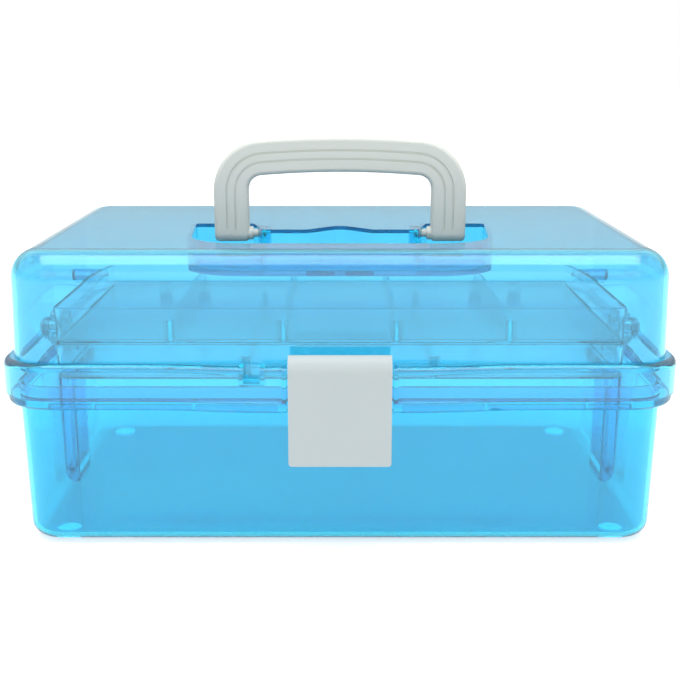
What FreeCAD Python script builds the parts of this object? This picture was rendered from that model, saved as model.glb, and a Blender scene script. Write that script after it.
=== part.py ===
import FreeCAD
import Part
import Sketcher
import math
import os
import re

# Craft storage box: a clear tub and a clear domed lid on two rear hinges, a carrying handle
# that folds forward into a pocket in the lid, a front latch, and two sorting trays that rise
# and swing back on four cantilever arms when the lid opens.
# Millimetres. +X right, -Y front, +Z up. The origin is on the ground under the closed box.

SIZES = {
    # rim and walls
    "rim_length": 330,
    "rim_depth": 204,
    "rim_corner": 26,
    "wall": 2.2,
    "bow_reach": 4.5,
    "bow_run": 68,
    "bow_flat_gap": 2.6,
    # tub
    "base_height": 77,
    "base_inset": 9,
    "base_draft": 1.5,
    "base_corner": 16,
    "base_round": 8,
    "floor_thickness": 2.4,
    "lip_rise": 5.4,
    "flange_thickness": 5,
    "flange_step": 1.2,
    "flange_round": 2.5,
    "rib_thickness": 1.6,
    "rib_end_gap": 21,
    "rib_pitch": 48.5,
    "foot_height": 1.2,
    "foot_radius": 6,
    "foot_end_gap": 27,
    "foot_front_gap": 25,
    "pillar_width": 32,
    "pillar_step": 1,
    "pillar_drop": 6.5,
    "pillar_round": 3,
    # lid
    "skirt_gap": 0.2,
    "skirt_height": 17.5,
    "skirt_round": 3.5,
    "dome_height": 52.5,
    "lid_inset": 5.5,
    "lid_draft": 1.2,
    "lid_corner": 20,
    "dome_round": 14,
    # handle pocket in the lid
    "pocket_floor_gap": 5.8,
    "pocket_front_gap": 6.5,
    "pocket_side_gap": 6.6,
    "pocket_end_gap": 11.4,
    "pocket_rear_gap": 6.9,
    "pocket_leg_gap": 1.3,
    "pocket_lug_width": 6,
    "pocket_main_gap": 11.3,
    "pocket_corner": 26,
    "pocket_bump_half": 17.7,
    "pocket_bump_flat": 2.9,
    "pocket_bump_reach": 13.1,
    "pocket_round": 2,
    "handle_lug_half": 5,
    "handle_lug_drop": 6,
    # handle
    "handle_half": 67.4,
    "handle_bar": 18.6,
    "handle_rise": 51.5,
    "handle_arch_round": 525,
    "handle_thickness": 9,
    "handle_corner": 27,
    "handle_inner_corner": 7.5,
    "handle_edge": 2.2,
    "handle_pivot_back": 8,
    "handle_pivot_drop": 3.4,
    "handle_pin_radius": 2.2,
    "handle_pin_length": 9,
    "handle_collar_radius": 3.6,
    "handle_collar_length": 2,
    "groove_first": 7,
    "groove_second": 11.6,
    "groove_width": 1.1,
    "groove_depth": 0.9,
    "groove_foot": 2.2,
    # latch
    "latch_width": 48.6,
    "latch_height": 53.7,
    "latch_reach": 8.6,
    "latch_thickness": 2.2,
    "latch_top_rise": 6.7,
    "latch_top_round": 9,
    "latch_top_gap": 1.7,
    "latch_corner": 1.6,
    "latch_pivot_back": 7.4,
    "latch_pivot_drop": 5.6,
    "latch_ear_radius": 2.7,
    "latch_ear_thickness": 2.6,
    "latch_lug_half": 15.2,
    "latch_lug_thickness": 3,
    "latch_lug_radius": 2.6,
    "latch_pin_radius": 1.4,
    "latch_side_gap": 0.9,
    "latch_rim_depth": 3.4,
    "latch_rim_lift": 2,
    "latch_rim_slope": 6,
    "hook_thickness": 2.3,
    "hook_gap": 0.4,
    "hook_grip": 3,
    "hook_side_gap": 4.3,
    "notch_inset": 1.5,
    # tag notch left of the latch
    "tag_gap": 10.2,
    "tag_width": 12.2,
    "tag_drop": 7.5,
    # trays
    "tray_end_gap": 25.7,
    "tray_front_gap": 20,
    "tray_rear_gap": 34,
    "tray_pitch": 18,
    "tray_stack_gap": 0.2,
    "tray_rise": 5.2,
    "tray_wall": 1.8,
    "tray_floor": 1.6,
    "tray_draft": 1,
    "tray_corner": 6,
    "tray_foot_round": 3,
    "divider_drop": 6,
    "divider_thickness": 1.6,
    "cell_round": 3,
    # arms and pins
    "arm_tilt": 29,
    "arm_width": 9.2,
    "arm_thickness": 3,
    "arm_panel_depth": 0.7,
    "arm_panel_gap": 1,
    "front_pin_gap": 8.1,
    "pivot_spread": 20,
    "pivot_rise": 7.3,
    "boss_reach": 2.6,
    "boss_radius": 5,
    "tab_root": 3.5,
    "tab_radius": 6.3,
    "side_gap": 0.3,
    "shank_radius": 1.9,
    "head_radius": 3.4,
    "head_thickness": 1.2,
    "head_bevel": 0.6,
    "shank_recess": 0.2,
    "pin_chamfer": 0.3,
    "pin_clearance": 0.06,
    "seat_clearance": 0.02,
    "full_round_gap": 0.05,
    # rear hinges
    "hinge_end_gap": 65,
    "hinge_wall_gap": 1,
    "hinge_drop": 0.5,
    "hinge_root_rise": 0.5,
    "hinge_web_tilt": 45,
    "hinge_web_rise": 11.4,
    "knuckle_radius": 3.8,
    "base_knuckle": 16,
    "lid_knuckle": 8,
    "knuckle_gap": 0.4,
    "hinge_pin_radius": 1.5,
}

# Heights above the ground.
LIP_TOP = "base_height + lip_rise"
FLANGE_LOW = "base_height - flange_thickness"
FLOOR_TOP = "foot_height + floor_thickness"
LID_LOW = "base_height + skirt_gap"
LEDGE = LID_LOW + " + skirt_height"
LID_TOP = LEDGE + " + dome_height"

# Inside sizes of the trays, which follow the rim.
TRAY_HALF = "(rim_length / 2 - tray_end_gap)"
TRAY_FRONT = "(rim_depth / 2 - tray_front_gap)"
TRAY_REAR = "(rim_depth / 2 - tray_rear_gap)"
TRAY_HEIGHT = "(tray_pitch - tray_stack_gap)"
TRAY_LOW = {"lower": "base_height + tray_rise", "upper": "base_height + tray_rise + tray_pitch"}

# The lid turns about the hinge. Each arm is as long as the hinge to the lid's tray pin and lies
# along that line, so lid and arms turn together as one set of cranks and the trays stay level.
HINGE_X = "(rim_length / 2 - hinge_end_gap)"
HINGE_Y = "rim_depth / 2 + knuckle_radius + hinge_wall_gap"
HINGE_Z = "base_height - hinge_drop"
LINK = "2 * tray_pitch / sin(arm_tilt * 1 deg)"
LINK_REACH = "2 * tray_pitch / tan(arm_tilt * 1 deg)"
FRONT_PIVOT = LINK_REACH + " + front_pin_gap - " + TRAY_FRONT
PIVOT_Y = {"front": FRONT_PIVOT, "rear": FRONT_PIVOT + " + pivot_spread"}
PIVOT_MIDDLE = FRONT_PIVOT + " + pivot_spread / 2"
PIVOT_Z = "base_height + tray_rise + pivot_rise - tray_pitch"
LID_PIN_Y = HINGE_Y + " - " + LINK_REACH
LID_PIN_Z = HINGE_Z + " + 2 * tray_pitch"
PILLAR_TOP = PIVOT_Z + " - pillar_drop"

# Distances from the middle plane, out along X: tray end, boss face, arm, pillar and its tab.
BOSS_FACE = TRAY_HALF + " + boss_reach"
ARM_INNER = BOSS_FACE + " + side_gap"
ARM_OUTER = ARM_INNER + " + arm_thickness"
TAB_INNER = ARM_OUTER + " + side_gap"
TUB_HALF = "rim_length / 2 - base_inset"
PILLAR_INNER = TUB_HALF + " - base_round - pillar_step"
TAB_OUTER = PILLAR_INNER + " + tab_root"
SHANK_END = TRAY_HALF + " - tray_wall + shank_recess"

# The handle's axis and legs, and the pocket that takes the folded handle.
HANDLE_Z = LID_TOP + " - handle_pivot_drop"
LEG_INNER = "handle_half - handle_bar"
POCKET_DEPTH = "(handle_pivot_drop + handle_thickness / 2 + pocket_floor_gap)"
POCKET_FLOOR = LID_TOP + " - " + POCKET_DEPTH
POCKET_FRONT = "handle_pivot_back + handle_rise + pocket_front_gap"
POCKET_REAR = "handle_thickness / 2 - handle_pivot_back + pocket_rear_gap"
POCKET_LUG_HALF = LEG_INNER + " - pocket_leg_gap"
POCKET_MAIN_HALF = POCKET_LUG_HALF + " - pocket_lug_width"
POCKET_MAIN_REAR = "handle_pivot_back + pocket_main_gap"

# The latch's face, top and axis, and the gap in the rim behind it.
LATCH_FACE = "-rim_depth / 2 - latch_reach"
LATCH_TOP = LEDGE + " + latch_top_rise"
LATCH_Y = LATCH_FACE + " + latch_pivot_back"
LATCH_Z = LATCH_TOP + " - latch_pivot_drop"
NOTCH_HALF = "latch_width / 2 + latch_side_gap"
NOTCH_BACK = "-rim_depth / 2 + notch_inset"
BOW_END = NOTCH_HALF + " + wall + bow_flat_gap"
BOW_START = BOW_END + " + bow_run"

NEAR = 0.02
FAR_OUT = "rim_depth"
SIDES = {"left": -1, "right": 1}

doc = FreeCAD.newDocument("craft_storage_box")
sheet = doc.addObject("Spreadsheet::Sheet", "Sizes")
for row, (alias, size) in enumerate(SIZES.items(), 1):
    sheet.set("A%d" % row, str(size))
    sheet.setAlias("A%d" % row, alias)
doc.recompute()


def bound(text):
    """The expression with each size's name pointing at its cell."""
    return re.sub(r"[a-z]+(?:_[a-z]+)+|wall", lambda name: "Sizes." + name.group(0), str(text))


def number(text):
    """The expression's value now, for finding edges."""
    return float(sheet.evalExpression(bound(text)))


def origin_plane(body, role):
    return [item for item in body.Origin.OriginFeatures if item.Role == role][0]


def new_body(label):
    body = doc.addObject("PartDesign::Body", label)
    body.Label = label
    return body


def minus(text):
    return "-(" + text + ")"


def box(x_low, x_high, y_low, y_high):
    """A rectangle's corners, as expressions."""
    return [(x_low, y_low), (x_high, y_low), (x_high, y_high), (x_low, y_high)]


def rounded(x_low, x_high, y_low, y_high, radius):
    """A rectangle with round corners."""
    left = x_low + " + " + radius
    right = x_high + " - (" + radius + ")"
    low = y_low + " + " + radius
    high = y_high + " - (" + radius + ")"
    return [
        (left, y_low),
        (right, y_low, radius),
        (x_high, low),
        (x_high, high, radius),
        (right, y_high),
        (left, y_high, radius),
        (x_low, high),
        (x_low, low, radius),
    ]


def disc(x, y, radius):
    return {"centre": (x, y), "radius": radius}


def fixed_point(item, point, corner):
    """The two rules that hold a point at its place from the sketch's origin."""
    rules = []
    for kind, text in zip(("DistanceX", "DistanceY"), corner):
        rules.append((Sketcher.Constraint(kind, -1, 1, item, point, number(text)), text))
    return rules


def fixed_radius(item, text):
    return (Sketcher.Constraint("Radius", item, abs(number(text))), "abs(" + text + ")")


def link(start, end, bend):
    """A straight side, or an arc of the bend's radius: above zero it turns left, below right."""
    if bend is None:
        return Part.LineSegment(start, end)
    radius = number(bend)
    half = (end - start) / 2
    lift = math.sqrt(radius ** 2 - half.Length ** 2) / half.Length
    lift = math.copysign(lift, radius)
    centre = start + half + FreeCAD.Vector(-half.y, half.x, 0) * lift
    tips = [start - centre, end - centre]
    if radius < 0:
        tips.reverse()
    turns = [math.atan2(tip.y, tip.x) for tip in tips]
    return Part.ArcOfCircle(Part.Circle(centre, FreeCAD.Vector(0, 0, 1), abs(radius)), *turns)


def draw(body, name, plane, level, *loops):
    """A sketch on an origin plane of the body, at a level along the plane's normal.

    A loop is a disc or a list of corners. A corner's third text bends the side after it.
    """
    sketch = body.newObject("Sketcher::SketchObject", name)
    sketch.AttachmentSupport = (origin_plane(body, plane + "_Plane"), "")
    sketch.MapMode = "FlatFace"
    sketch.setExpression("AttachmentOffset.Base.z", bound(level))
    rules = []
    for loop in loops:
        first = sketch.GeometryCount
        if isinstance(loop, dict):
            centre = FreeCAD.Vector(*[number(text) for text in loop["centre"]])
            sketch.addGeometry(Part.Circle(centre, FreeCAD.Vector(0, 0, 1), number(loop["radius"])))
            rules += fixed_point(first, 3, loop["centre"])
            rules.append(fixed_radius(first, loop["radius"]))
            continue
        count = len(loop)
        spots = [FreeCAD.Vector(number(corner[0]), number(corner[1]), 0) for corner in loop]
        heads = []
        for step, corner in enumerate(loop):
            bend = corner[2] if len(corner) > 2 else None
            side = link(spots[step], spots[(step + 1) % count], bend)
            sketch.addGeometry(side)
            heads.append(1 if (side.StartPoint - spots[step]).Length < NEAR else 2)
        for step, corner in enumerate(loop):
            after = (step + 1) % count
            ends = (first + step, 3 - heads[step], first + after, heads[after])
            rules.append((Sketcher.Constraint("Coincident", *ends), None))
            rules += fixed_point(first + step, heads[step], corner)
            if len(corner) > 2:
                rules.append(fixed_radius(first + step, corner[2]))
    sketch.addConstraint([rule for rule, text in rules])
    for index, (rule, text) in enumerate(rules):
        if text:
            sketch.setExpression("Constraints[%d]" % index, bound(text))
    return sketch


def extrude(kind, body, name, sketch, length, taper, back):
    feature = body.newObject("PartDesign::" + kind, name)
    feature.Profile = sketch
    feature.setExpression("Length", bound(length))
    feature.setExpression("TaperAngle", bound(taper))
    feature.Reversed = back
    feature.Refine = False
    sketch.Visibility = False
    doc.recompute()
    return feature


def pad(body, name, sketch, length, taper="0", back=False):
    return extrude("Pad", body, name, sketch, length, taper, back)


def pocket(body, name, sketch, length, taper="0", back=False):
    """Cuts against the sketch's normal, or along it with back set."""
    before = body.Tip.Shape.Volume
    feature = extrude("Pocket", body, name, sketch, length, taper, back)
    if not feature.Shape.Volume < before - NEAR:
        raise ValueError(name + " cuts nothing")
    return feature


def edges(body, axis, low, high, keep=None):
    """Names of the edges that run from low to high along an axis, and pass the keep test."""
    names = []
    for count, edge in enumerate(body.Tip.Shape.Edges, 1):
        span = edge.BoundBox
        ends = (getattr(span, axis + "Min"), getattr(span, axis + "Max"))
        if abs(ends[0] - low) < NEAR and abs(ends[1] - high) < NEAR:
            if keep is None or keep(edge):
                names.append("Edge%d" % count)
    return names


def dress(kind, size_name, body, name, size, names):
    if not names:
        raise ValueError(name + " finds no edges")
    rough = body.Tip
    feature = body.newObject("PartDesign::" + kind, name)
    feature.Base = (rough, names)
    feature.setExpression(size_name, bound(size))
    feature.Refine = False
    doc.recompute()
    return feature


def fillet(body, name, radius, names):
    return dress("Fillet", "Radius", body, name, radius, names)


def chamfer(body, name, size, names):
    return dress("Chamfer", "Size", body, name, size, names)


def rim_outline(inset):
    """The rim seen from above, with its front bowed out towards the latch."""
    round_by = "rim_corner - (" + inset + ")"
    side = "rim_length / 2 - (" + inset + ")"
    end = "rim_depth / 2 - (" + inset + ")"
    front = minus(end)
    plain = rounded(minus(side), side, front, end, round_by)
    bowed = front + " - bow_reach"
    halfway = front + " - bow_reach / 2"
    bend = "(bow_run^2 + bow_reach^2) / (4 * bow_reach)"
    turn = BOW_END + " + bow_run / 2"
    bow = [
        (minus(BOW_START), front, minus(bend)),
        (minus(turn), halfway, bend),
        (minus(BOW_END), bowed),
        (BOW_END, bowed, bend),
        (turn, halfway, minus(bend)),
        (BOW_START, front),
    ]
    return plain[:1] + bow + plain[1:]


def outward(edge):
    """How far the middle of an edge lies outside the rim's corner centres."""
    corner = number("rim_corner")
    middle = edge.valueAt((edge.FirstParameter + edge.LastParameter) / 2)
    across = max(abs(middle.x) - number("rim_length / 2") + corner, 0)
    along = max(abs(middle.y) - number("rim_depth / 2") + corner, 0)
    return math.hypot(across, along)


def mirrored(x_low, x_high):
    """The same stretch of X on the right and on the left."""
    return [(x_low, x_high), (minus(x_high), minus(x_low))]


def add_barrels(body, profile, reach, gaps, y_face, radius):
    """Hinge barrels about H: one long bar along X, cut into pieces at the gaps, then bored."""
    half = HINGE_X + " + " + reach
    pad(body, "hinge_bar", draw(body, "hinge_bar_side", "YZ", minus(half), profile), "2 * (" + half + ")")
    rear = HINGE_Y + " + 2 * knuckle_radius"
    loops = [box(x_low, x_high, y_face, rear) for x_low, x_high in gaps]
    top = HINGE_Z + " + 6 * knuckle_radius"
    pocket(body, "hinge_gaps", draw(body, "hinge_gaps_plan", "XY", top, *loops), "12 * knuckle_radius")
    bore_through(body, "hinge_bore", minus(half), "2 * (" + half + ")", [(HINGE_Y, HINGE_Z)], radius)


def bore_through(body, name, x_low, width, centres, radius):
    holes = [disc(y, z, radius) for y, z in centres]
    pocket(body, name, draw(body, name + "_round", "YZ", x_low, *holes), width, back=True)


def make_base():
    body = new_body("base_tub")
    end = "rim_depth / 2 - base_inset"
    foot = number("foot_height")
    outline = rounded(minus(TUB_HALF), TUB_HALF, minus(end), end, "base_corner")
    walls = draw(body, "tub_outline", "XY", "foot_height", outline)
    pad(body, "tub", walls, LIP_TOP + " - foot_height", "base_draft")

    plate = draw(body, "flange_outline", "XY", FLANGE_LOW, rim_outline("flange_step"))
    pad(body, "flange", plate, "flange_thickness")
    low = number(FLANGE_LOW)
    reach = number("rim_corner - flange_step")
    outer = edges(body, "Z", low, low, lambda edge: outward(edge) > reach - NEAR)
    fillet(body, "flange_under", "flange_round", outer)

    spread = "(" + LIP_TOP + " - foot_height) * tan(base_draft * 1 deg) - wall"
    side_in = TUB_HALF + " + " + spread
    end_in = end + " + " + spread
    outline = rounded(minus(side_in), side_in, minus(end_in), end_in, "base_corner + " + spread)
    inside = draw(body, "hollow_outline", "XY", LIP_TOP, outline)
    pocket(body, "hollow", inside, LIP_TOP + " - (" + FLOOR_TOP + ")", "-base_draft")
    floor = number(FLOOR_TOP)
    fillet(body, "hollow_bottom", "base_round - wall", edges(body, "Z", floor, floor))
    fillet(body, "tub_bottom", "base_round", edges(body, "Z", foot, foot))

    add_flange_channels(body)
    notch = box(minus(NOTCH_HALF), NOTCH_HALF, "-" + FAR_OUT, NOTCH_BACK)
    outline = draw(body, "latch_notch_outline", "XY", "base_height", notch)
    pocket(body, "latch_notch", outline, "flange_thickness")

    add_feet(body)
    add_pillars(body)
    half = "base_knuckle / 2"
    root = "rim_depth / 2 - 2 * wall"
    profile = [
        (root, FLANGE_LOW + " + hinge_root_rise"),
        (HINGE_Y, HINGE_Z + " - knuckle_radius", "knuckle_radius"),
        (HINGE_Y + " + knuckle_radius", HINGE_Z, "knuckle_radius"),
        (HINGE_Y, HINGE_Z + " + knuckle_radius", "knuckle_radius"),
        (HINGE_Y + " - sqrt(knuckle_radius^2 - hinge_drop^2)", "base_height"),
        (root, "base_height"),
    ]
    gap = HINGE_X + " - " + half
    add_barrels(body, profile, half, [(minus(gap), gap)], "rim_depth / 2 - flange_step",
                "hinge_pin_radius + seat_clearance")
    return body


def add_flange_channels(body):
    """Hollows the rim from below, leaving ribs, the latch catch and solid corners."""
    outer = "flange_step + wall"
    inner = "base_inset - (base_height - foot_height) * tan(base_draft * 1 deg)"
    half = "rib_thickness / 2"
    straight = "rim_length / 2 - rim_corner"
    depth = "rim_depth / 2 - rim_corner"
    front = ("-rim_depth / 2 + " + outer, "-rim_depth / 2 + " + inner)
    rear = ("rim_depth / 2 - (" + inner + ")", "rim_depth / 2 - (" + outer + ")")
    side = ("rim_length / 2 - (" + inner + ")", "rim_length / 2 - (" + outer + ")")
    rib_outer = straight + " - rib_end_gap"
    rib_inner = rib_outer + " - rib_pitch"
    bays = [
        (NOTCH_HALF + " + 2 * wall", rib_inner + " - " + half),
        (rib_inner + " + " + half, rib_outer + " - " + half),
        (rib_outer + " + " + half, straight),
    ]
    rear_bays = [
        (half, HINGE_X + " / 2 - " + half),
        (HINGE_X + " / 2 + " + half, HINGE_X + " - base_knuckle / 2 - wall"),
        (HINGE_X + " + base_knuckle / 2 + wall", straight),
    ]
    loops = []
    for low, high in bays:
        loops += [box(x_low, x_high, *front) for x_low, x_high in mirrored(low, high)]
    for low, high in rear_bays:
        loops += [box(x_low, x_high, *rear) for x_low, x_high in mirrored(low, high)]
    for y_low, y_high in mirrored(half, depth):
        loops += [box(x_low, x_high, y_low, y_high) for x_low, x_high in mirrored(*side)]
    cut = draw(body, "channel_outline", "XY", FLANGE_LOW, *loops)
    pocket(body, "channels", cut, "flange_thickness - wall", back=True)


def add_feet(body):
    x = "rim_length / 2 - foot_end_gap"
    y = "rim_depth / 2 - foot_front_gap"
    spots = [(x, y), (minus(x), y), (x, minus(y)), (minus(x), minus(y))]
    feet = [disc(*spot, "foot_radius") for spot in spots]
    pad(body, "feet", draw(body, "feet_outline", "XY", "0", *feet), FLOOR_TOP + " - wall / 2")


def add_pillars(body):
    """The hollow-wall pillars inside the ends, with the tabs that carry the arms."""
    bottom = "foot_height + wall / 2"
    knee = "foot_height + base_round"
    lean = "(" + PILLAR_TOP + " - foot_height - base_round) * tan(base_draft * 1 deg)"
    right = [
        (PILLAR_INNER, bottom),
        (TUB_HALF + " - base_round", bottom, "base_round - wall / 2"),
        (TUB_HALF + " - wall / 2", knee),
        (TUB_HALF + " - wall / 2 + " + lean, PILLAR_TOP),
        (PILLAR_INNER, PILLAR_TOP),
    ]
    left = [(minus(x), *rest) for x, *rest in right]
    left[1] = (*left[1][:2], minus(left[1][2]))
    outline = draw(body, "pillar_outline", "XZ", minus(PIVOT_MIDDLE + " + pillar_width / 2"), right, left)
    pad(body, "pillars", outline, "pillar_width")
    core_half = "pillar_width / 2 - wall"
    ends = (PIVOT_MIDDLE + " - (" + core_half + ")", PIVOT_MIDDLE + " + " + core_half)
    cores = [box(x_low, x_high, *ends) for x_low, x_high in mirrored(TAB_OUTER, TUB_HALF + " - wall")]
    core = draw(body, "pillar_core_outline", "XY", PILLAR_TOP, *cores)
    pocket(body, "pillar_cores", core, PILLAR_TOP + " - foot_height - base_round - wall")
    face = number(PILLAR_INNER)
    top = number(PILLAR_TOP)
    corners = edges(body, "Z", number(FLOOR_TOP), top,
                    lambda edge: abs(abs(edge.CenterOfMass.x) - face) < NEAR)
    fillet(body, "pillar_corners", "pillar_round", corners)

    root = PILLAR_TOP + " - tab_radius"
    thickness = TAB_OUTER + " - (" + TAB_INNER + ")"
    tabs = []
    for y in PIVOT_Y.values():
        left = y + " - tab_radius"
        right = y + " + tab_radius"
        crest = (y, PIVOT_Z + " + tab_radius", "tab_radius")
        tabs.append([(left, root), (right, root), (right, PIVOT_Z, "tab_radius"), crest, (left, PIVOT_Z)])
    for side_name, way in SIDES.items():
        left = TAB_INNER if way > 0 else minus(TAB_OUTER)
        pad(body, "tabs_" + side_name, draw(body, "tab_outline_" + side_name, "YZ", left, *tabs), thickness)
    centres = [(y, PIVOT_Z) for y in PIVOT_Y.values()]
    bore_through(body, "pivot_bores", minus(TAB_OUTER), "2 * (" + TAB_OUTER + ")", centres,
                 "shank_radius + seat_clearance")


def pocket_outline(grow):
    """The handle pocket seen from above: a wide front, two deep ends and a finger bay."""
    main_rear = grow + " - (" + POCKET_MAIN_REAR + ")"
    half = [
        ("handle_half + pocket_side_gap + " + grow, minus(POCKET_FRONT + " + " + grow)),
        ("handle_half + pocket_end_gap + " + grow, POCKET_REAR + " + " + grow),
        (POCKET_LUG_HALF + " - " + grow, POCKET_REAR + " + " + grow),
        (POCKET_MAIN_HALF + " - " + grow, main_rear),
        ("pocket_bump_half", main_rear),
        ("pocket_bump_flat", main_rear + " + pocket_bump_reach"),
    ]
    return half + [(minus(x), y) for x, y in reversed(half)]


def make_lid():
    body = new_body("lid_shell")
    ledge = number(LEDGE)
    top = number(LID_TOP)
    plate = draw(body, "skirt_outline", "XY", LID_LOW, rim_outline("0"))
    pad(body, "skirt", plate, "skirt_height")
    fillet(body, "skirt_shoulder", "skirt_round", edges(body, "Z", ledge, ledge))

    side = "rim_length / 2 - lid_inset"
    end = "rim_depth / 2 - lid_inset"
    outline = rounded(minus(side), side, minus(end), end, "lid_corner")
    pad(body, "dome", draw(body, "dome_outline", "XY", LEDGE, outline), "dome_height", "-lid_draft")

    cavity = draw(body, "skirt_hollow_outline", "XY", LID_LOW, rim_outline("wall"))
    pocket(body, "skirt_hollow", cavity, "skirt_height - wall", back=True)

    side_in = side + " - wall"
    end_in = end + " - wall"
    outline = rounded(minus(side_in), side_in, minus(end_in), end_in, "lid_corner - wall")
    inside = draw(body, "dome_hollow_outline", "XY", LEDGE + " - 2 * wall", outline)
    pocket(body, "dome_hollow", inside, "dome_height + wall", "-lid_draft", back=True)
    ceiling = number(LID_TOP + " - wall")
    fillet(body, "dome_hollow_top", "dome_round - wall", edges(body, "Z", ceiling, ceiling))
    fillet(body, "dome_top", "dome_round", edges(body, "Z", top, top))

    add_handle_pocket(body)
    add_latch_mount(body)
    add_tag_notch(body)
    add_lid_bosses(body)
    add_lid_barrels(body)
    return body


def add_handle_pocket(body):
    floor = number(POCKET_FLOOR)
    top = number(LID_TOP)
    under = POCKET_FLOOR + " - wall"
    housing = draw(body, "pocket_housing_outline", "XY", under, pocket_outline("wall"))
    pad(body, "pocket_housing", housing, POCKET_DEPTH + " + wall / 2")
    pin_y = "-handle_pivot_back"
    bore_end = LEG_INNER + " - handle_pin_length - side_gap"
    loops = [box(x_low, x_high, pin_y + " - handle_lug_half", pin_y + " + handle_lug_half")
             for x_low, x_high in mirrored(bore_end + " - wall", POCKET_MAIN_HALF + " + wall")]
    lug = draw(body, "handle_lug_outline", "XY", HANDLE_Z + " - handle_lug_drop", *loops)
    pad(body, "handle_lugs", lug, "handle_lug_drop + handle_pivot_drop - wall / 2")

    cut = draw(body, "handle_pocket_outline", "XY", LID_TOP, pocket_outline("0"))
    pocket(body, "handle_pocket", cut, POCKET_DEPTH)
    front = number(minus(POCKET_FRONT))
    corners = edges(body, "Z", floor, top, lambda edge: abs(edge.CenterOfMass.y - front) < NEAR)
    fillet(body, "pocket_front_corners", "pocket_corner", corners)
    middle = number(minus(POCKET_MAIN_REAR))
    rest = edges(body, "Z", floor, top, lambda edge: edge.CenterOfMass.y > middle - NEAR)
    fillet(body, "pocket_corners", "pocket_round", rest)
    under_front = number(minus(POCKET_FRONT + " + wall"))
    outer = edges(body, "Z", number(under), number(LID_TOP + " - wall"),
                  lambda edge: abs(edge.CenterOfMass.y - under_front) < NEAR)
    fillet(body, "pocket_housing_corners", "pocket_corner + wall", outer)
    fillet(body, "pocket_bottom", "pocket_round", edges(body, "Z", floor, floor))
    for side_name, way in SIDES.items():
        left = bore_end if way > 0 else minus(LEG_INNER)
        bore_through(body, "handle_bore_" + side_name, left, "handle_pin_length + side_gap",
                     [(pin_y, HANDLE_Z)], "handle_pin_radius + pin_clearance")


def add_latch_mount(body):
    """The gap in the skirt behind the latch, and the two lugs that carry it."""
    half = NOTCH_HALF + " + wall"
    block = box(minus(half), half, "-rim_depth / 2 - bow_reach + wall / 2", NOTCH_BACK + " + wall")
    frame = draw(body, "latch_frame_outline", "XY", LID_LOW, block)
    pad(body, "latch_frame", frame, "skirt_height - wall / 2")
    gap = box(minus(NOTCH_HALF), NOTCH_HALF, "-" + FAR_OUT, NOTCH_BACK)
    notch = draw(body, "skirt_notch_outline", "XY", LID_LOW, gap)
    pocket(body, "skirt_notch", notch, "skirt_height", back=True)
    radius = "latch_lug_radius"
    wall_y = "-rim_depth / 2 + lid_inset + wall / 2"
    lug = [
        (wall_y, LATCH_Z),
        (LATCH_Y + " + " + radius, LATCH_Z, radius),
        (LATCH_Y, LATCH_Z + " + " + radius, radius),
        (LATCH_Y + " - " + radius, LATCH_Z, radius),
        (LATCH_Y, LATCH_Z + " - " + radius),
        (wall_y, LATCH_Z + " - " + radius),
    ]
    for side_name, way in SIDES.items():
        left = "latch_lug_half - latch_lug_thickness" if way > 0 else "-latch_lug_half"
        outline = draw(body, "latch_lug_outline_" + side_name, "YZ", left, lug)
        pad(body, "latch_lug_" + side_name, outline, "latch_lug_thickness")
    bore_through(body, "latch_bore", "-latch_lug_half", "2 * latch_lug_half", [(LATCH_Y, LATCH_Z)],
                 "latch_pin_radius + pin_clearance")


def add_tag_notch(body):
    """The small notch in the front rim, left of the latch, with its own thin walls."""
    floor = LEDGE + " - tag_drop"
    front = "-rim_depth / 2 - bow_reach + wall / 2"
    back = "-rim_depth / 2 + lid_inset"
    right = minus(NOTCH_HALF + " + tag_gap")
    left = right + " - tag_width"
    block = box(left, right, front, back)
    frame = draw(body, "tag_frame_outline", "XY", floor + " - wall", block)
    pad(body, "tag_frame", frame, "tag_drop + wall / 2")
    notch = box(left + " + wall", right + " - wall", "-" + FAR_OUT, back + " - wall")
    pocket(body, "tag_notch", draw(body, "tag_notch_outline", "XY", LEDGE, notch), "tag_drop")


def add_lid_bosses(body):
    """Bosses inside the lid's ends, for the pins that carry the upper tray."""
    wall_in = "rim_length / 2 - lid_inset - wall / 2 - dome_height * tan(lid_draft * 1 deg)"
    length = wall_in + " - (" + ARM_INNER + ")"
    for side_name, way in SIDES.items():
        left = ARM_INNER if way > 0 else minus(wall_in)
        name = "tray_boss_" + side_name
        boss = draw(body, name + "_round", "YZ", left, disc(LID_PIN_Y, LID_PIN_Z, "boss_radius"))
        pad(body, name, boss, length)
    reach = ARM_INNER + " + tray_wall + boss_reach"
    bore_through(body, "tray_boss_bores", minus(reach), "2 * (" + reach + ")", [(LID_PIN_Y, LID_PIN_Z)],
                 "shank_radius + seat_clearance")


def add_lid_barrels(body):
    skirt = "rim_depth / 2 - wall / 2"
    profile = [
        (skirt, LID_LOW),
        (HINGE_Y + " - sqrt(knuckle_radius^2 - (hinge_drop + skirt_gap)^2)", LID_LOW, "knuckle_radius"),
        (HINGE_Y, HINGE_Z + " - knuckle_radius", "knuckle_radius"),
        (HINGE_Y + " + knuckle_radius", HINGE_Z, "knuckle_radius"),
        (HINGE_Y + " + knuckle_radius * cos(hinge_web_tilt * 1 deg)",
         HINGE_Z + " + knuckle_radius * sin(hinge_web_tilt * 1 deg)"),
        ("rim_depth / 2", LID_LOW + " + hinge_web_rise"),
        (skirt, LID_LOW + " + hinge_web_rise"),
    ]
    inner = "base_knuckle / 2 + knuckle_gap"
    outer = inner + " + lid_knuckle"
    middle = HINGE_X + " - (" + outer + ")"
    gaps = [(minus(middle), middle)]
    gaps += mirrored(HINGE_X + " - (" + inner + ")", HINGE_X + " + " + inner)
    add_barrels(body, profile, outer, gaps, "rim_depth / 2", "hinge_pin_radius + pin_clearance")


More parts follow.
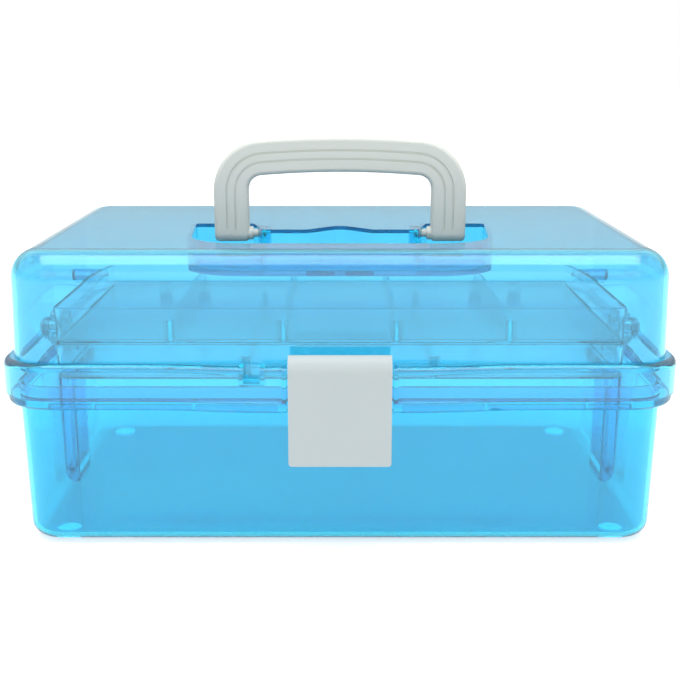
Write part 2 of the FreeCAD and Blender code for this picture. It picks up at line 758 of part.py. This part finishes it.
def arch(inset, corner, foot, way):
    """Leg, shoulder, bowed top, shoulder and leg, at an inset from the handle's outer edge."""
    half = "(handle_half - (" + inset + "))"
    bend = "(handle_arch_round - (" + inset + "))"
    centre = HANDLE_Z + " + handle_rise - handle_arch_round"
    lean = "(" + half + " - (" + corner + "))"
    lift = "sqrt((" + bend + " - (" + corner + "))^2 - " + lean + "^2)"
    share = bend + " / (" + bend + " - (" + corner + "))"
    crest = (lean + " * " + share, centre + " + " + lift + " * " + share)
    shoulder = centre + " + " + lift
    first, last = (minus, str) if way > 0 else (str, minus)
    return [
        (first(half), foot),
        (first(half), shoulder, first(corner)),
        (first(crest[0]), crest[1], first(bend)),
        (last(crest[0]), crest[1], first(corner)),
        (last(half), shoulder),
        (last(half), foot),
    ]


def stirrup(outer, outer_corner, inner, inner_corner, foot):
    return arch(outer, outer_corner, foot, 1) + arch(inner, inner_corner, foot, -1)


def make_handle():
    body = new_body("handle")
    foot = HANDLE_Z + " - handle_thickness / 2"
    back = "handle_pivot_back - handle_thickness / 2"
    outline = stirrup("0", "handle_corner", "handle_bar", "handle_inner_corner", foot)
    pad(body, "stirrup", draw(body, "handle_outline", "XZ", back, outline), "handle_thickness")
    faces = [number("-handle_pivot_back - handle_thickness / 2")]
    faces.append(number("-handle_pivot_back + handle_thickness / 2"))
    base = number(foot)
    soles = edges(body, "Z", base, base, lambda edge: abs(edge.BoundBox.YLength) < NEAR)
    fillet(body, "handle_feet", "handle_thickness / 2 - full_round_gap", soles)

    rims = []
    for face in faces:
        rims += edges(body, "Y", face, face)
    fillet(body, "handle_edges", "handle_edge", rims)

    front = "handle_pivot_back + handle_thickness / 2"
    for name, inset in (("first", "groove_first"), ("second", "groove_second")):
        outer = inset + " - groove_width / 2"
        inner = inset + " + groove_width / 2"
        corners = ["handle_corner - (" + depth + ")" for depth in (outer, inner)]
        band = stirrup(outer, corners[0], inner, corners[1], HANDLE_Z + " + groove_foot")
        outline = draw(body, "groove_outline_" + name, "XZ", front, band)
        pocket(body, "groove_" + name, outline, "groove_depth")

    pins = (
        ("pin", "handle_pin_radius", "handle_pin_length"),
        ("collar", "handle_collar_radius", "handle_collar_length"),
    )
    for side_name, way in SIDES.items():
        for kind, radius, length in pins:
            name = "handle_" + kind + "_" + side_name
            left = LEG_INNER + " - " + length if way > 0 else minus(LEG_INNER + " + handle_edge")
            ring = draw(body, name + "_round", "YZ", left, disc("-handle_pivot_back", HANDLE_Z, radius))
            pad(body, name, ring, length + " + handle_edge")
    return body


def make_latch():
    body = new_body("latch")
    half = "latch_width / 2"
    low = LATCH_TOP + " - latch_height"
    inside = LATCH_FACE + " + latch_thickness"
    middle = LATCH_FACE + " + latch_thickness / 2"
    ear_back = LATCH_Y + " - latch_top_gap"
    inner_round = "(latch_top_round - latch_thickness)"
    bend = LATCH_TOP + " - latch_top_round"
    short = "(latch_top_round - latch_pivot_back + latch_top_gap)^2)"
    profile = [
        (LATCH_FACE, low),
        (LATCH_FACE, bend, "-latch_top_round"),
        (ear_back, bend + " + sqrt(latch_top_round^2 - " + short),
        (ear_back, bend + " + sqrt(" + inner_round + "^2 - " + short, inner_round),
        (inside, bend),
        (inside, low),
    ]
    pad(body, "plate", draw(body, "plate_side", "YZ", minus(half), profile), "latch_width")
    foot = number(low)
    corners = edges(body, "Y", number(LATCH_FACE), number(inside),
                    lambda edge: abs(edge.CenterOfMass.z - foot) < NEAR)
    fillet(body, "plate_corners", "latch_corner", corners)

    rim_back = inside + " + latch_rim_depth"
    rim = [
        (middle, low + " + latch_rim_lift"),
        (middle, bend),
        (rim_back, bend),
        (rim_back, low + " + latch_rim_lift + latch_rim_slope"),
        (inside, low + " + latch_rim_lift"),
    ]
    for side_name, way in SIDES.items():
        left = half + " - latch_thickness" if way > 0 else minus(half)
        outline = draw(body, "side_rim_outline_" + side_name, "YZ", left, rim)
        pad(body, "side_rim_" + side_name, outline, "latch_thickness")

    add_hook(body, middle)
    for side_name, way in SIDES.items():
        inner = "latch_lug_half + side_gap"
        left = inner if way > 0 else minus(inner + " + latch_ear_thickness")
        root = [
            (middle, LATCH_Z + " - 2 * latch_ear_radius"),
            (LATCH_Y, LATCH_Z + " - latch_ear_radius"),
            (LATCH_Y, LATCH_Z + " + latch_ear_radius"),
            (ear_back, LATCH_TOP + " - latch_thickness"),
            (middle, LATCH_Z),
        ]
        outline = draw(body, "ear_root_outline_" + side_name, "YZ", left, root)
        pad(body, "ear_root_" + side_name, outline, "latch_ear_thickness")
        ear = draw(body, "ear_round_" + side_name, "YZ", left, disc(LATCH_Y, LATCH_Z, "latch_ear_radius"))
        pad(body, "ear_" + side_name, ear, "latch_ear_thickness")
        root = "side_gap + latch_ear_thickness / 2"
        left = "latch_lug_half - latch_lug_thickness" if way > 0 else minus("latch_lug_half + " + root)
        name = "latch_pin_" + side_name
        pin = draw(body, name + "_round", "YZ", left, disc(LATCH_Y, LATCH_Z, "latch_pin_radius"))
        pad(body, name, pin, "latch_lug_thickness + " + root)
    return body


def add_hook(body, root):
    """The ledge that grips under the tub's rim, on three braces."""
    top = FLANGE_LOW + " - hook_gap"
    tip = NOTCH_BACK + " + hook_grip"
    reach = "(latch_width / 2 - hook_side_gap)"
    hook = draw(body, "hook_outline", "YZ", "-" + reach, box(root, tip, top + " - hook_thickness", top))
    pad(body, "hook", hook, "2 * " + reach)
    brace = [
        (root, top + " - 3 * hook_thickness"),
        (tip + " - hook_thickness / 2", top + " - hook_thickness / 2"),
        (root, top + " - hook_thickness / 2"),
    ]
    starts = {"left": "-" + reach, "middle": "-wall / 2", "right": reach + " - wall"}
    for place, x_low in starts.items():
        pad(body, "brace_" + place, draw(body, "brace_side_" + place, "YZ", x_low, brace), "wall")


def make_tray(kind, columns, pins):
    """A sorting tray. Pins are the (y, height) places of the bosses on its ends."""
    body = new_body(kind + "_tray")
    body.setExpression("Placement.Base.z", bound(TRAY_LOW[kind]))
    taper = TRAY_HEIGHT + " * tan(tray_draft * 1 deg)"

    def plan(inset):
        side = TRAY_HALF + " - " + inset
        rear = TRAY_REAR + " - " + inset
        return rounded(minus(side), side, minus(TRAY_FRONT + " - " + inset), rear, "tray_corner - " + inset)

    block = draw(body, kind + "_plan", "XY", "0", plan(taper))
    pad(body, kind + "_block", block, TRAY_HEIGHT, "tray_draft")
    fillet(body, kind + "_foot", "tray_foot_round", edges(body, "Z", 0, 0))
    well = draw(body, kind + "_well_plan", "XY", TRAY_HEIGHT, plan("tray_wall"))
    pocket(body, kind + "_well", well, "divider_drop")

    edge_gap = "(tray_wall + " + taper + ")"
    front = minus(TRAY_FRONT + " - " + edge_gap)
    rear = TRAY_REAR + " - " + edge_gap
    width = "((2 * " + TRAY_HALF + " - 2 * " + edge_gap + " + divider_thickness) / %d)" % columns
    loops = []
    for column in range(columns):
        x_low = edge_gap + " - " + TRAY_HALF + " + %d * " % column + width
        x_high = x_low + " + " + width + " - divider_thickness"
        loops.append(rounded(x_low, x_high, front, rear, "cell_round"))
    level = TRAY_HEIGHT + " - divider_drop"
    cells = draw(body, kind + "_cells_plan", "XY", level, *loops)
    pocket(body, kind + "_cells", cells, level + " - tray_floor")

    bosses = [disc(y, rise, "boss_radius") for y, rise in pins]
    for side_name, way in SIDES.items():
        name = kind + "_bosses_" + side_name
        left = TRAY_HALF + " - tray_wall / 2" if way > 0 else minus(BOSS_FACE)
        pad(body, name, draw(body, name + "_round", "YZ", left, *bosses), "tray_wall / 2 + boss_reach")
        left = TRAY_HALF + " - 2 * tray_wall" if way > 0 else minus(BOSS_FACE)
        depth = "2 * tray_wall + boss_reach"
        bore_through(body, name + "_bore", left, depth, pins[:2], "shank_radius + seat_clearance")
        if pins[2:]:
            bore_through(body, name + "_lid_bore", left, depth, pins[2:], "shank_radius + pin_clearance")
    return body


def make_arm(label, way, pivot_y):
    """A flat link with rounded ends and a shallow panel between its three pin holes."""
    body = new_body(label)
    reach = "arm_width / 2"
    plan = box(minus(reach), LINK + " + " + reach, minus(reach), reach)
    pad(body, label + "_bar", draw(body, label + "_side", "YZ", "0", plan), "arm_thickness")
    edge = number(reach)
    ends = edges(body, "X", 0, number("arm_thickness"),
                 lambda item: abs(abs(item.CenterOfMass.z) - edge) < NEAR)
    fillet(body, label + "_ends", reach + " - full_round_gap", ends)
    centres = [(LINK + " * %d / 2" % count, "0") for count in range(3)]
    bore_through(body, label + "_holes", "0", "arm_thickness", centres, "shank_radius + pin_clearance")
    margin = "head_radius + arm_panel_gap"
    loops = []
    for count in range(2):
        low = LINK + " * %d / 2 + " % count + margin
        high = low + " + " + LINK + " / 2 - 2 * (" + margin + ")"
        loops.append(box(low, high, "-arm_width / 4", "arm_width / 4"))
    panel_level = "arm_thickness" if way > 0 else "0"
    panel = draw(body, label + "_panel_side", "YZ", panel_level, *loops)
    pocket(body, label + "_panel", panel, "arm_panel_depth", back=way < 0)
    body.Placement = FreeCAD.Placement(FreeCAD.Vector(), FreeCAD.Rotation(FreeCAD.Vector(1, 0, 0), 150))
    body.setExpression("Placement.Base.x", bound(ARM_INNER if way > 0 else minus(ARM_OUTER)))
    body.setExpression("Placement.Base.y", bound(pivot_y))
    body.setExpression("Placement.Base.z", bound(PIVOT_Z))
    body.setExpression("Placement.Rotation.Angle", bound("180 - arm_tilt"))
    return body


def make_rivet(label, way, inward, length, x, y, z):
    """A headed pin along X. Its head's underside is at x, and its shank runs away from it."""
    body = new_body(label)
    outline = [
        (minus(length), "0"),
        ("head_thickness", "0"),
        ("head_thickness", "head_radius - head_bevel"),
        ("head_thickness - head_bevel", "head_radius"),
        ("0", "head_radius"),
        ("0", "shank_radius"),
        (minus(length), "shank_radius"),
    ]
    profile = draw(body, label + "_half", "XY", "0", outline)
    turned = body.newObject("PartDesign::Revolution", label + "_turned")
    turned.Profile = profile
    turned.ReferenceAxis = (profile, ["H_Axis"])
    turned.Angle = 360
    profile.Visibility = False
    points_right = (way > 0) != inward
    turn = FreeCAD.Rotation(FreeCAD.Vector(0, 0, 1), 0 if points_right else 180)
    body.Placement = FreeCAD.Placement(FreeCAD.Vector(), turn)
    for axis, text in zip("xyz", (x if way > 0 else minus(x), y, z)):
        body.setExpression("Placement.Base." + axis, bound(text))
    return body


def add_rod(body, x_low, length, radius):
    """A plain pin along the body's X axis, with both ends chamfered."""
    name = body.Label
    pad(body, name + "_rod", draw(body, name + "_round", "YZ", x_low, disc("0", "0", radius)), length)
    ends = []
    for x in (x_low, "(" + x_low + ") + " + length):
        ends += edges(body, "X", number(x), number(x))
    chamfer(body, name + "_ends", "pin_chamfer", ends)


def make_lid_pin(label, way):
    body = new_body(label)
    left = SHANK_END if way > 0 else minus(ARM_INNER + " + tray_wall + boss_reach")
    length = ARM_INNER + " + tray_wall + boss_reach - (" + SHANK_END + ")"
    add_rod(body, left, length, "shank_radius")
    body.setExpression("Placement.Base.y", bound(LID_PIN_Y))
    body.setExpression("Placement.Base.z", bound(LID_PIN_Z))
    return body


def make_hinge_pin(label, way):
    body = new_body(label)
    half = "base_knuckle / 2 + knuckle_gap + lid_knuckle"
    add_rod(body, minus(half), "2 * (" + half + ")", "hinge_pin_radius")
    for axis, text in zip("xyz", (HINGE_X if way > 0 else minus(HINGE_X), HINGE_Y, HINGE_Z)):
        body.setExpression("Placement.Base." + axis, bound(text))
    return body


bodies = [make_base(), make_lid(), make_handle(), make_latch()]

lower_pins = []
upper_pins = []
for pivot in PIVOT_Y.values():
    lower_pins.append((pivot + " - " + LINK_REACH + " / 2", "pivot_rise"))
    upper_pins.append((pivot + " - " + LINK_REACH, "pivot_rise"))
upper_pins.append((LID_PIN_Y, LID_PIN_Z + " - (" + TRAY_LOW["upper"] + ")"))
bodies.append(make_tray("lower", 3, lower_pins))
bodies.append(make_tray("upper", 5, upper_pins))

shank = TAB_INNER + " - (" + SHANK_END + ")"
base_shank = TAB_OUTER + " - (" + BOSS_FACE + ")"
for side_name, way in SIDES.items():
    for end_name, pivot in PIVOT_Y.items():
        place = end_name + "_" + side_name
        bodies.append(make_arm("arm_" + place, way, pivot))
        bodies.append(make_rivet("base_pivot_" + place, way, True, base_shank, BOSS_FACE, pivot, PIVOT_Z))
        for step, kind in enumerate(("lower", "upper"), 1):
            y = pivot + " - " + LINK_REACH + " * %d / 2" % step
            z = PIVOT_Z + " + %d * tray_pitch" % step
            bodies.append(make_rivet(kind + "_tray_pivot_" + place, way, False, shank, TAB_INNER, y, z))
    bodies.append(make_lid_pin("lid_tray_pin_" + side_name, way))
    bodies.append(make_hinge_pin("hinge_pin_" + side_name, way))

doc.recompute()
broken = [item.Label for item in doc.Objects if "Invalid" in item.State or "Error" in item.State]
if broken:
    raise ValueError("these objects failed: " + ", ".join(broken))
os.makedirs("parts", exist_ok=True)
for body in bodies:
    shape = body.Shape
    if shape.isNull() or not shape.isValid() or len(shape.Solids) != 1:
        raise ValueError(body.Label + " is not one valid solid")
    shape.exportStep("parts/" + body.Label + ".step")
    print(body.Label, round(shape.Volume), shape.BoundBox)
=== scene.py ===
import math

import bpy
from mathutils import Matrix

# Clear craft box with two trays, on a pale floor under soft studio light. Metres.

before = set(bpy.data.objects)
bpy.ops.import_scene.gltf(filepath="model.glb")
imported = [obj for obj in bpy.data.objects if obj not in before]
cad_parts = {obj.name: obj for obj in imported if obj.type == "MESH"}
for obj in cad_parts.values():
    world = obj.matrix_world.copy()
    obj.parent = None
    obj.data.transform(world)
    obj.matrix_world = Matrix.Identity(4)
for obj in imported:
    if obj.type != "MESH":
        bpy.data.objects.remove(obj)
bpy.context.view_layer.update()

# Skin tints of the clear plastics, and what their thickness soaks up of the light. The lid's tint is
# paler than the tub's as painted light (white reflections and light from above on the lid), and the
# tub's tint is deeper as painted shade under the rim; apart from that both are the plastic's own
# blue.
TUB_TINT_PAINTED_SHADE = (0.15, 0.77, 0.97, 1)
LID_TINT_PAINTED_LIGHT = (0.53, 0.805, 0.985, 1)
TRAY_TINT = (0.98, 1.0, 1.0, 1)
ARM_TINT = (0.84, 0.96, 1.0, 1)
CLOUDED = (0.9, 0.96, 0.99)
SOAK_BLUE = (0.50, 0.982, 0.99, 1)
SHELL_SOAK = 480.0
TRAY_SOAK = 50.0
PLASTIC_IOR = 1.57

# Off-whites of the handle and latch, and the pins' steel.
HANDLE_WHITE = (0.80, 0.83, 0.79, 1)
LATCH_WHITE = (0.56, 0.63, 0.65, 1)
AGED = (0.97, 0.97, 0.955)
STEEL = (0.66, 0.67, 0.69, 1)
DULL_STEEL = (0.50, 0.51, 0.53, 1)

# Noise waves per metre, from broad clouds to fine texture.
CLOUD_WAVES = 14.0
PATCH_WAVES = 16.0
FLOW_WAVES = 26.0
RUB_WAVES = 60.0
MARK_WAVES = 420.0
SHADE_WAVES = 700.0
DRAWN_WAVES = 900.0
SPARK_WAVES = 1100.0
WEAR_WAVES = 1800.0

# Light. The sky behind a reflection is dimmer in a band of heights (sine of its elevation).
WORLD_LEVEL = 0.65
SKY_LEVEL = 0.62
SKY_BAND = (0.06, 0.11, 0.22, 0.34)
FLOOR_SIDE = 12.0
FLOOR_GREY = 0.93
FLOOR_GLOW = 0.6
LAMP_AIM_DROP = 0.08
LAMPS = (
    ("overhead", (0.0, -0.15, 1.3), (1.2, 1.0), 10.0),
    ("front_fill", (0.0, -1.6, 0.7), (1.6, 0.8), 3.0),
)
BOUNCES = 24

# Camera, fitted to the photo's frame.
FOCAL_MM = 59.4
SENSOR_MM = 36.0
CAMERA_PLACE = (0.0, -0.611, 0.2338)
CAMERA_PITCH = 13.95
NEAREST_SEEN = 0.01


def new_material(name):
    material = bpy.data.materials.new(name)
    material.use_nodes = True
    tree = material.node_tree
    shader = next(node for node in tree.nodes if node.type == "BSDF_PRINCIPLED")
    return material, tree, shader


def noise(tree, waves, detail, rough=0.5, stretch=None):
    """A noise texture in the object's own metres."""
    place = tree.nodes.new("ShaderNodeTexCoord")
    texture = tree.nodes.new("ShaderNodeTexNoise")
    texture.inputs["Scale"].default_value = waves
    texture.inputs["Detail"].default_value = detail
    texture.inputs["Roughness"].default_value = rough
    source = place.outputs["Object"]
    if stretch:
        mapping = tree.nodes.new("ShaderNodeMapping")
        mapping.inputs["Scale"].default_value = stretch
        tree.links.new(source, mapping.inputs["Vector"])
        source = mapping.outputs["Vector"]
    tree.links.new(source, texture.inputs["Vector"])
    return texture.outputs["Fac"]


def spread(tree, value, low, high, start=0.2, end=0.8):
    """The value's stretch from start to end, spread over low to high."""
    node = tree.nodes.new("ShaderNodeMapRange")
    node.inputs["From Min"].default_value = start
    node.inputs["From Max"].default_value = end
    node.inputs["To Min"].default_value = low
    node.inputs["To Max"].default_value = high
    tree.links.new(value, node.inputs["Value"])
    return node.outputs["Result"]


def two_tone(tree, shader, value, first, second):
    """The shader's colour, from the first to the second as the value rises."""
    node = tree.nodes.new("ShaderNodeMix")
    node.data_type = "RGBA"
    node.inputs["A"].default_value = first
    node.inputs["B"].default_value = second
    tree.links.new(value, node.inputs["Factor"])
    tree.links.new(node.outputs["Result"], shader.inputs["Base Color"])


def shaded(colour, shares):
    return tuple(part * share for part, share in zip(colour, shares)) + (1,)


def bump(tree, shader, value, strength, distance):
    node = tree.nodes.new("ShaderNodeBump")
    node.inputs["Strength"].default_value = strength
    node.inputs["Distance"].default_value = distance
    tree.links.new(value, node.inputs["Height"])
    tree.links.new(node.outputs["Normal"], shader.inputs["Normal"])


def clear_plastic(name, colour, clearness, soak, smooth, handled):
    """Moulded clear plastic: tint that clouds a little, faint flow waves and fine handling marks."""
    material, tree, shader = new_material(name)
    cloud = spread(tree, noise(tree, CLOUD_WAVES, 1.5), 0.0, 1.0)
    two_tone(tree, shader, cloud, colour, shaded(colour, CLOUDED))
    marks = noise(tree, MARK_WAVES, 6.0, 0.65, (1.0, 0.25, 1.0))
    tree.links.new(spread(tree, marks, smooth, handled, 0.45, 0.8), shader.inputs["Roughness"])
    shader.inputs["Transmission Weight"].default_value = clearness
    shader.inputs["IOR"].default_value = PLASTIC_IOR
    bump(tree, shader, noise(tree, FLOW_WAVES, 2.0), 0.02, 0.001)
    depth = tree.nodes.new("ShaderNodeVolumeAbsorption")
    depth.inputs["Color"].default_value = SOAK_BLUE
    depth.inputs["Density"].default_value = soak
    final = next(node for node in tree.nodes if node.type == "OUTPUT_MATERIAL")
    tree.links.new(depth.outputs["Volume"], final.inputs["Volume"])
    return material


def white_plastic(name, colour):
    """Satin off-white moulding with a fine spark texture and slightly rubbed patches."""
    material, tree, shader = new_material(name)
    patch = spread(tree, noise(tree, PATCH_WAVES, 1.0), 0.0, 1.0)
    two_tone(tree, shader, patch, colour, shaded(colour, AGED))
    tree.links.new(spread(tree, noise(tree, RUB_WAVES, 4.0), 0.34, 0.44), shader.inputs["Roughness"])
    bump(tree, shader, noise(tree, SPARK_WAVES, 3.0), 0.08, 0.0003)
    return material


def pin_steel(name):
    """Drawn wire with fine lines round the pin."""
    material, tree, shader = new_material(name)
    shader.inputs["Metallic"].default_value = 1.0
    shade = spread(tree, noise(tree, SHADE_WAVES, 4.0), 0.0, 1.0, 0.3, 0.7)
    two_tone(tree, shader, shade, STEEL, DULL_STEEL)
    wear = spread(tree, noise(tree, WEAR_WAVES, 3.0), 0.22, 0.4, 0.3, 0.7)
    tree.links.new(wear, shader.inputs["Roughness"])
    bump(tree, shader, noise(tree, DRAWN_WAVES, 3.0, 0.6, (6.0, 1.0, 1.0)), 0.15, 0.0003)
    return material


def dress():
    """Gives each CAD node its material."""
    # The tub's deeper tint is painted shade and the lid's paler tint is painted light, over the
    # plastic's own blue.
    tub = clear_plastic("clear_blue_tub", TUB_TINT_PAINTED_SHADE, 0.95, SHELL_SOAK, 0.03, 0.09)
    lid = clear_plastic("clear_blue_lid", LID_TINT_PAINTED_LIGHT, 0.94, SHELL_SOAK, 0.03, 0.09)
    tray = clear_plastic("clear_blue_tray", TRAY_TINT, 0.98, TRAY_SOAK, 0.05, 0.12)
    arm = clear_plastic("pale_blue_arm", ARM_TINT, 0.80, TRAY_SOAK, 0.10, 0.20)
    steel = pin_steel("drawn_steel")
    named = {
        "handle": white_plastic("warm_white_plastic", HANDLE_WHITE),
        "latch": white_plastic("cool_white_plastic", LATCH_WHITE),
        "lid_shell": lid,
        "lower_tray": tray,
        "upper_tray": tray,
        "base_tub": tub,
    }
    for node_name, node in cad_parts.items():
        look = named.get(node_name, arm if node_name.startswith("arm_") else steel)
        for place in node.material_slots:
            place.material = look


def seen_straight(tree):
    """One where the eye meets a surface directly, in a reflection or through clear plastic."""
    path = tree.nodes.new("ShaderNodeLightPath")
    seen = path.outputs["Is Camera Ray"]
    for kind in ("Is Glossy Ray", "Is Transmission Ray"):
        either = tree.nodes.new("ShaderNodeMath")
        either.operation = "MAXIMUM"
        tree.links.new(seen, either.inputs[0])
        tree.links.new(path.outputs[kind], either.inputs[1])
        seen = either.outputs[0]
    return seen


def pale_floor():
    """White where it is seen, but for the box's shadow."""
    far = FLOOR_SIDE / 2
    corners = [(-far, -far, 0), (far, -far, 0), (far, far, 0), (-far, far, 0)]
    mesh = bpy.data.meshes.new("floor")
    mesh.from_pydata(corners, [], [(0, 1, 2, 3)])
    floor = bpy.data.objects.new("floor", mesh)
    bpy.context.collection.objects.link(floor)
    material, tree, shader = new_material("pale_floor")
    shader.inputs["Base Color"].default_value = (FLOOR_GREY, FLOOR_GREY, FLOOR_GREY, 1)
    shader.inputs["Roughness"].default_value = 0.9
    shader.inputs["Emission Color"].default_value = (1, 1, 1, 1)
    glow = spread(tree, seen_straight(tree), 0.0, FLOOR_GLOW, 0.0, 1.0)
    tree.links.new(glow, shader.inputs["Emission Strength"])
    mesh.materials.append(material)


def pale_world():
    """White behind the box, a little dimmer in what the lid's top mirrors."""
    world = bpy.data.worlds.new("studio")
    bpy.context.scene.world = world
    world.use_nodes = True
    tree = world.node_tree
    place = tree.nodes.new("ShaderNodeTexCoord")
    height = tree.nodes.new("ShaderNodeSeparateXYZ")
    tree.links.new(place.outputs["Generated"], height.inputs["Vector"])
    sky = tree.nodes.new("ShaderNodeValToRGB")
    stops = sky.color_ramp.elements
    stops[0].position, stops[1].position = SKY_BAND[0], SKY_BAND[3]
    for rise in SKY_BAND[1:3]:
        stops.new(rise)
    for stop, shade in zip(stops, (1.0, SKY_LEVEL, SKY_LEVEL, 1.0)):
        stop.color = (shade, shade, shade, 1)
    tree.links.new(height.outputs["Z"], sky.inputs["Fac"])

    path = tree.nodes.new("ShaderNodeLightPath")
    mirrored = tree.nodes.new("ShaderNodeMapRange")
    mirrored.inputs["To Min"].default_value = 1.0
    tree.links.new(path.outputs["Is Glossy Ray"], mirrored.inputs["Value"])
    tree.links.new(sky.outputs["Color"], mirrored.inputs["To Max"])
    level = tree.nodes.new("ShaderNodeMath")
    level.operation = "MULTIPLY"
    seen = spread(tree, seen_straight(tree), WORLD_LEVEL, 1.0, 0.0, 1.0)
    tree.links.new(seen, level.inputs[0])
    tree.links.new(mirrored.outputs["Result"], level.inputs[1])
    background = next(node for node in tree.nodes if node.type == "BACKGROUND")
    background.inputs["Color"].default_value = (1, 1, 1, 1)
    tree.links.new(level.outputs[0], background.inputs["Strength"])


def soft_lamps():
    for name, place, size, power in LAMPS:
        data = bpy.data.lights.new(name, "AREA")
        data.shape = "RECTANGLE"
        data.size, data.size_y = size
        data.energy = power
        lamp = bpy.data.objects.new(name, data)
        lamp.location = place
        aim = lamp.location.copy()
        aim.z -= LAMP_AIM_DROP
        lamp.rotation_euler = aim.to_track_quat("Z", "Y").to_euler()
        bpy.context.collection.objects.link(lamp)


def camera():
    data = bpy.data.cameras.new("photo_view")
    data.lens = FOCAL_MM
    data.sensor_width = SENSOR_MM
    data.clip_start = NEAREST_SEEN
    view = bpy.data.objects.new("photo_view", data)
    view.location = CAMERA_PLACE
    view.rotation_euler = (math.radians(90 - CAMERA_PITCH), 0, 0)
    bpy.context.collection.objects.link(view)
    bpy.context.scene.camera = view


dress()
pale_floor()
pale_world()
soft_lamps()
camera()

scene = bpy.context.scene
scene.view_settings.view_transform = "Standard"
for kind in ("max_bounces", "transmission_bounces", "glossy_bounces", "transparent_max_bounces"):
    setattr(scene.cycles, kind, BOUNCES)
